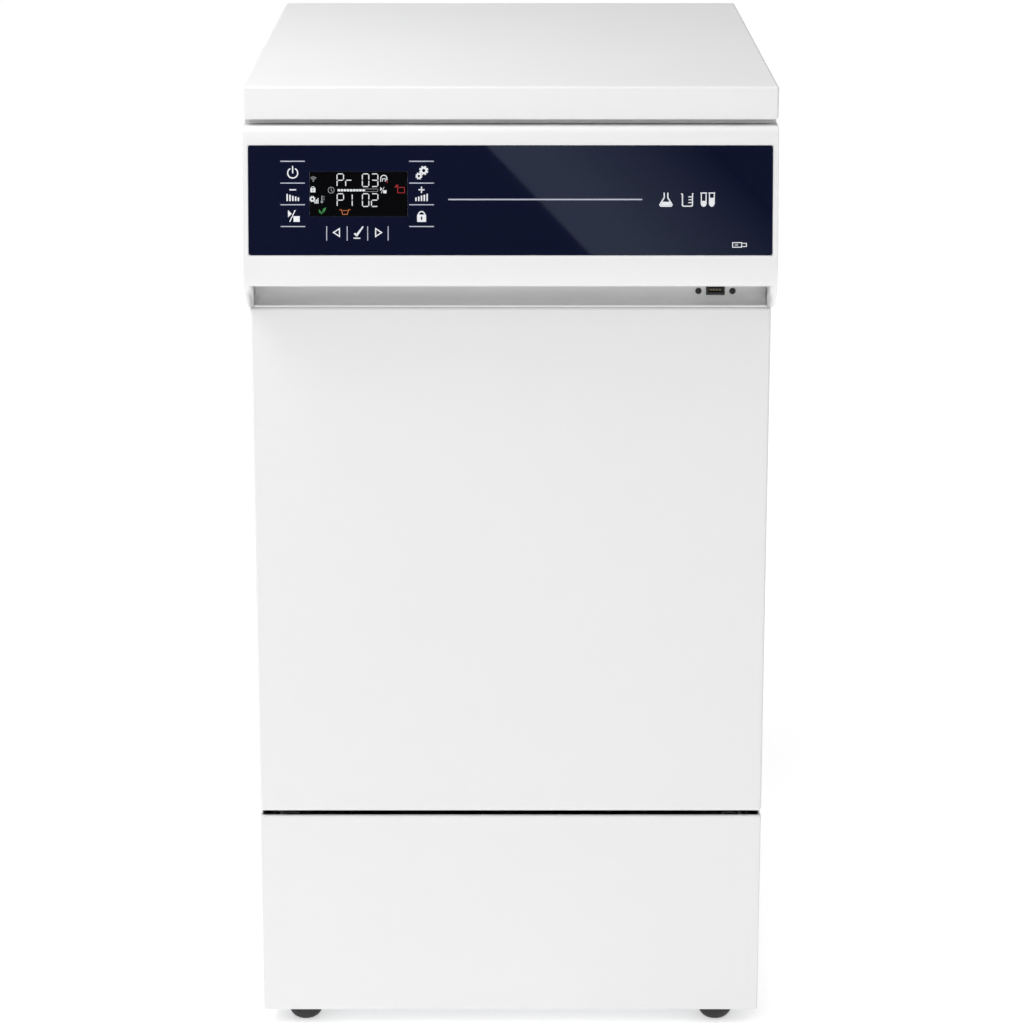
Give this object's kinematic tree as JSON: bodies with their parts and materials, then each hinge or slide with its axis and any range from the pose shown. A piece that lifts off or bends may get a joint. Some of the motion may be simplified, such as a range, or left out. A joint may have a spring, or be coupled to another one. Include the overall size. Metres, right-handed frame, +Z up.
{
  "type": "undercounter glass washer machine",
  "caption": "White undercounter laboratory glass washer with a drop-down door, slanted dark control fascia, steel tub, sliding racks and turning spray arms.",
  "frame": {"origin": "on the floor, at the middle of the overall box", "axes": "+X to the right seen from the front, -Y out of the door side, +Z up"},
  "size_m": [0.45, 0.624, 0.85],
  "materials": {
    "white_laminate": "white laminate over board, satin",
    "white_enamel": "smooth white paint, light gloss",
    "galvanised": "galvanised sheet",
    "stainless": "brushed stainless steel",
    "spring_steel": "drawn spring steel",
    "rubber": "matt",
    "grey_plastic": "matt moulded",
    "black_plastic": "matt black",
    "white_plastic": "white moulded, light sheen",
    "navy_film": "glossy dark blue film",
    "display_lens": "clear over black",
    "circuit_board": "solder resist",
    "blue_plastic": "moulded"
  },
  "bodies": {
    "cabinet": {"worktop": "white_laminate", "side_panel_left": "white_enamel", "side_panel_right": "white_enamel", "rear_panel": "galvanised", "rear_service_plate": "galvanised", "base_tray": "galvanised", "plinth_panel": "white_enamel", "tub": "stainless", "tub_gasket": "rubber", "hinge_frame_left": "galvanised", "hinge_frame_right": "galvanised", "door_spring_left": "spring_steel", "door_spring_right": "spring_steel", "sump": "grey_plastic", "filter_plate": "stainless", "filter_cup": "grey_plastic", "spray_hub": "grey_plastic", "heater_element": "stainless", "wash_pump": "grey_plastic", "drain_pump": "black_plastic", "water_inlet_valve": "white_plastic", "cable_gland": "black_plastic", "upper_feed_pipe": "stainless", "rack_rail_left": "stainless", "rack_rail_right": "stainless", "door_lock_case": "black_plastic"},
    "door": {"door_outer_panel": "white_enamel", "door_inner_liner": "stainless", "console_housing": "white_plastic", "console_fascia": "navy_film", "display_window": "display_lens", "control_board": "circuit_board", "usb_port": "black_plastic", "usb_screw_left": "black_plastic", "usb_screw_right": "black_plastic", "handle_recess": "white_plastic", "dispenser_body": "grey_plastic", "hinge_arm_left": "galvanised", "hinge_arm_right": "galvanised", "door_strike": "stainless"},
    "upper_rack": {"upper_rack": "stainless", "rack_runner_left": "stainless", "rack_runner_right": "stainless", "upper_rack_manifold": "grey_plastic"},
    "lower_rack": {"lower_rack": "stainless"},
    "upper_spray_arm": {"upper_spray_arm": "grey_plastic"},
    "lower_spray_arm": {"lower_spray_arm": "grey_plastic"},
    "pump_impeller": {"pump_impeller": "black_plastic"},
    "lock_bolt": {"door_lock_bolt": "stainless"},
    "dispenser_lid": {"dispenser_lid": "grey_plastic"},
    "rinse_aid_cap": {"rinse_aid_cap": "blue_plastic"},
    "rack_wheel_front_left": {"rack_wheel_front_left": "grey_plastic"},
    "foot_front_left": {"foot_front_left": "rubber"},
    "rack_wheel_front_right": {"rack_wheel_front_right": "grey_plastic"},
    "foot_front_right": {"foot_front_right": "rubber"},
    "rack_wheel_rear_left": {"rack_wheel_rear_left": "grey_plastic"},
    "foot_rear_left": {"foot_rear_left": "rubber"},
    "rack_wheel_rear_right": {"rack_wheel_rear_right": "grey_plastic"},
    "foot_rear_right": {"foot_rear_right": "rubber"}
  },
  "joints": [
    {"name": "door_hinge", "type": "hinge", "parent": "cabinet", "child": "door", "pos_m": [0, -0.27, 0.188], "axis": [1, 0, 0], "range_deg": [0, 90], "stiffness_Nm_per_rad": 18, "deforming": ["door_spring_left", "door_spring_right"]},
    {"name": "upper_rack_slide", "type": "slide", "parent": "cabinet", "child": "upper_rack", "axis": [0, -1, 0], "range_m": [0, 0.3413]},
    {"name": "lower_rack_roll", "type": "slide", "parent": "cabinet", "child": "lower_rack", "axis": [0, -1, 0], "range_m": [0, 0.1874]},
    {"name": "lower_spray_arm_spin", "type": "hinge", "parent": "cabinet", "child": "lower_spray_arm", "pos_m": [0, 0.0101, 0.27], "axis": [0, 0, 1], "continuous": true},
    {"name": "upper_spray_arm_spin", "type": "hinge", "parent": "upper_rack", "child": "upper_spray_arm", "pos_m": [0, 0.0101, 0.47], "axis": [0, 0, 1], "continuous": true},
    {"name": "impeller_spin", "type": "hinge", "parent": "cabinet", "child": "pump_impeller", "pos_m": [-0.045, 0.06, 0.098], "axis": [1, 0, 0], "continuous": true},
    {"name": "lock_bolt_drop", "type": "slide", "parent": "cabinet", "child": "lock_bolt", "axis": [0, 0, -1], "range_m": [0, 0.007]},
    {"name": "dispenser_lid_slide", "type": "slide", "parent": "door", "child": "dispenser_lid", "axis": [0, 0, -1], "range_m": [0, 0.052]},
    {"name": "rinse_cap_turn", "type": "hinge", "parent": "door", "child": "rinse_aid_cap", "pos_m": [0.036, -0.263, 0.505], "axis": [0, 1, 0], "range_deg": [0, 90]},
    {"name": "wheel_roll_front_left", "type": "hinge", "parent": "lower_rack", "child": "rack_wheel_front_left", "pos_m": [-0.1823, -0.044, 0.2583], "axis": [1, 0, 0], "continuous": true},
    {"name": "wheel_roll_front_right", "type": "hinge", "parent": "lower_rack", "child": "rack_wheel_front_right", "pos_m": [0.1823, -0.044, 0.2583], "axis": [1, 0, 0], "continuous": true},
    {"name": "wheel_roll_rear_left", "type": "hinge", "parent": "lower_rack", "child": "rack_wheel_rear_left", "pos_m": [-0.1823, 0.164, 0.2583], "axis": [1, 0, 0], "continuous": true},
    {"name": "wheel_roll_rear_right", "type": "hinge", "parent": "lower_rack", "child": "rack_wheel_rear_right", "pos_m": [0.1823, 0.164, 0.2583], "axis": [1, 0, 0], "continuous": true},
    {"name": "foot_turn_front_left", "type": "hinge", "parent": "cabinet", "child": "foot_front_left", "pos_m": [-0.1855, -0.257, 0], "axis": [0, 0, 1], "continuous": true},
    {"name": "foot_turn_front_right", "type": "hinge", "parent": "cabinet", "child": "foot_front_right", "pos_m": [0.1855, -0.257, 0], "axis": [0, 0, 1], "continuous": true},
    {"name": "foot_turn_rear_left", "type": "hinge", "parent": "cabinet", "child": "foot_rear_left", "pos_m": [-0.1855, 0.234, 0], "axis": [0, 0, 1], "continuous": true},
    {"name": "foot_turn_rear_right", "type": "hinge", "parent": "cabinet", "child": "foot_rear_right", "pos_m": [0.1855, 0.234, 0], "axis": [0, 0, 1], "continuous": true}
  ],
  "couplings": [
    {"joint": "upper_rack_slide", "follows": "door_hinge", "m_per_rad": 0.216},
    {"joint": "lower_rack_roll", "follows": "door_hinge", "m_per_rad": 0.118}
  ]
}
